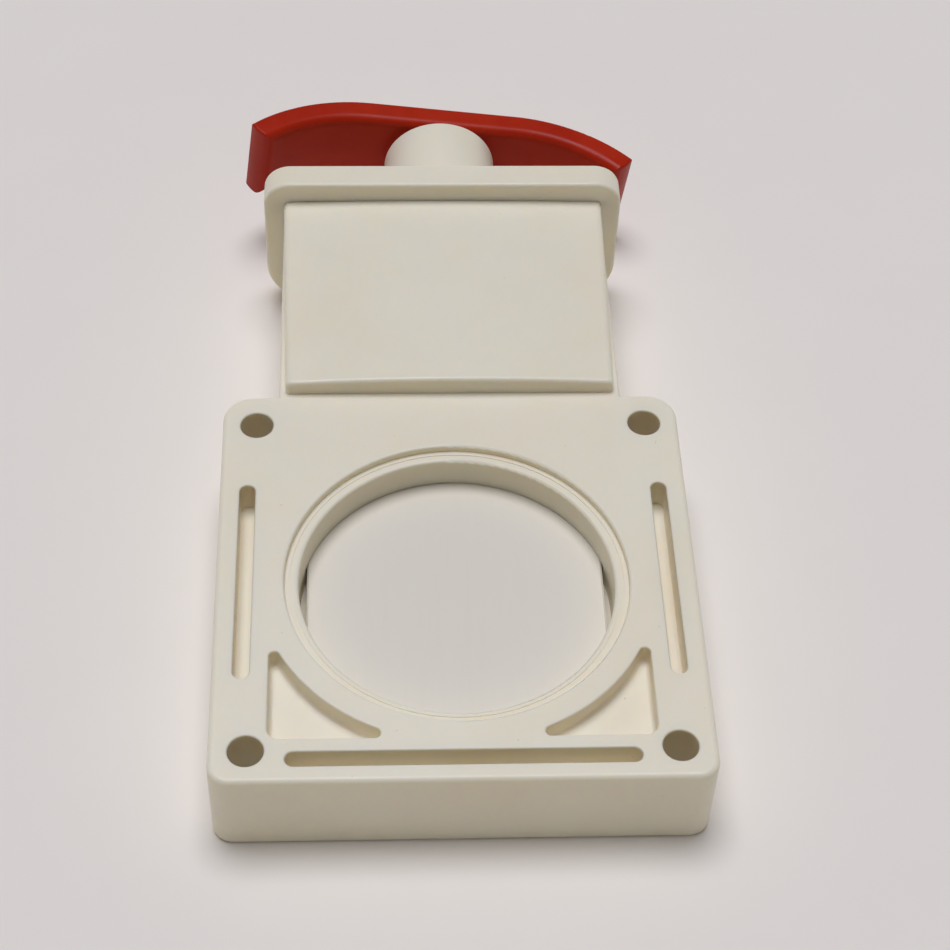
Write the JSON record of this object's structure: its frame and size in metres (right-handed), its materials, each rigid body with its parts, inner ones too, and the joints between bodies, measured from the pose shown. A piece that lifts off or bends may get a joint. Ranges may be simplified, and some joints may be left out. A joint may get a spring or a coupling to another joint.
{
  "type": "sliding-blade seacock valve",
  "caption": "Plastic sliding-blade shut-off valve: square ported plate with bolt holes, box neck, end cap with stem boss, and a red bowed pull handle on a steel stem.",
  "frame": {"origin": "on the port's axis, at the middle of the ported plate's thickness", "axes": "+Z along the port's axis, +Y from the port towards the handle along the blade's travel, +X across the plate"},
  "size_m": [0.1156, 0.232, 0.0454],
  "materials": {
    "body_plastic": "cream-white moulded plastic, satin gloss",
    "cap_plastic": "cream-white moulded plastic, satin gloss",
    "blade_plastic": "cool grey-white plastic, slightly translucent, matte",
    "red_plastic": "red moulded plastic, semi-gloss",
    "steel": "stainless steel",
    "spring_steel": "dark spring steel",
    "black_rubber": "black rubber",
    "bush_plastic": "natural white bearing plastic"
  },
  "bodies": {
    "valve_body": {"housing": "body_plastic", "end_cap": "cap_plastic", "cap_gasket": "black_rubber", "cap_screws": "steel", "stop_buffer": "black_rubber", "gland_bush": "bush_plastic", "inner_backup_washer": "bush_plastic", "inner_o_ring": "black_rubber", "seal_spacer": "bush_plastic", "outer_o_ring": "black_rubber", "outer_backup_washer": "bush_plastic", "stem_wiper": "black_rubber", "retaining_ring": "spring_steel"},
    "gate": {"blade": "blade_plastic", "yoke_pins": "steel"},
    "pull": {"stem": "steel", "handle": "red_plastic", "front_washer": "steel", "handle_washer": "steel", "handle_screw": "steel"}
  },
  "joints": [
    {"name": "blade_slide", "type": "slide", "parent": "valve_body", "child": "gate", "axis": [0, 1, 0], "range_m": [0, 0.0779]},
    {"name": "handle_turn", "type": "hinge", "parent": "gate", "child": "pull", "pos_m": [0, 0.048, 0], "axis": [0, 1, 0], "continuous": true}
  ]
}
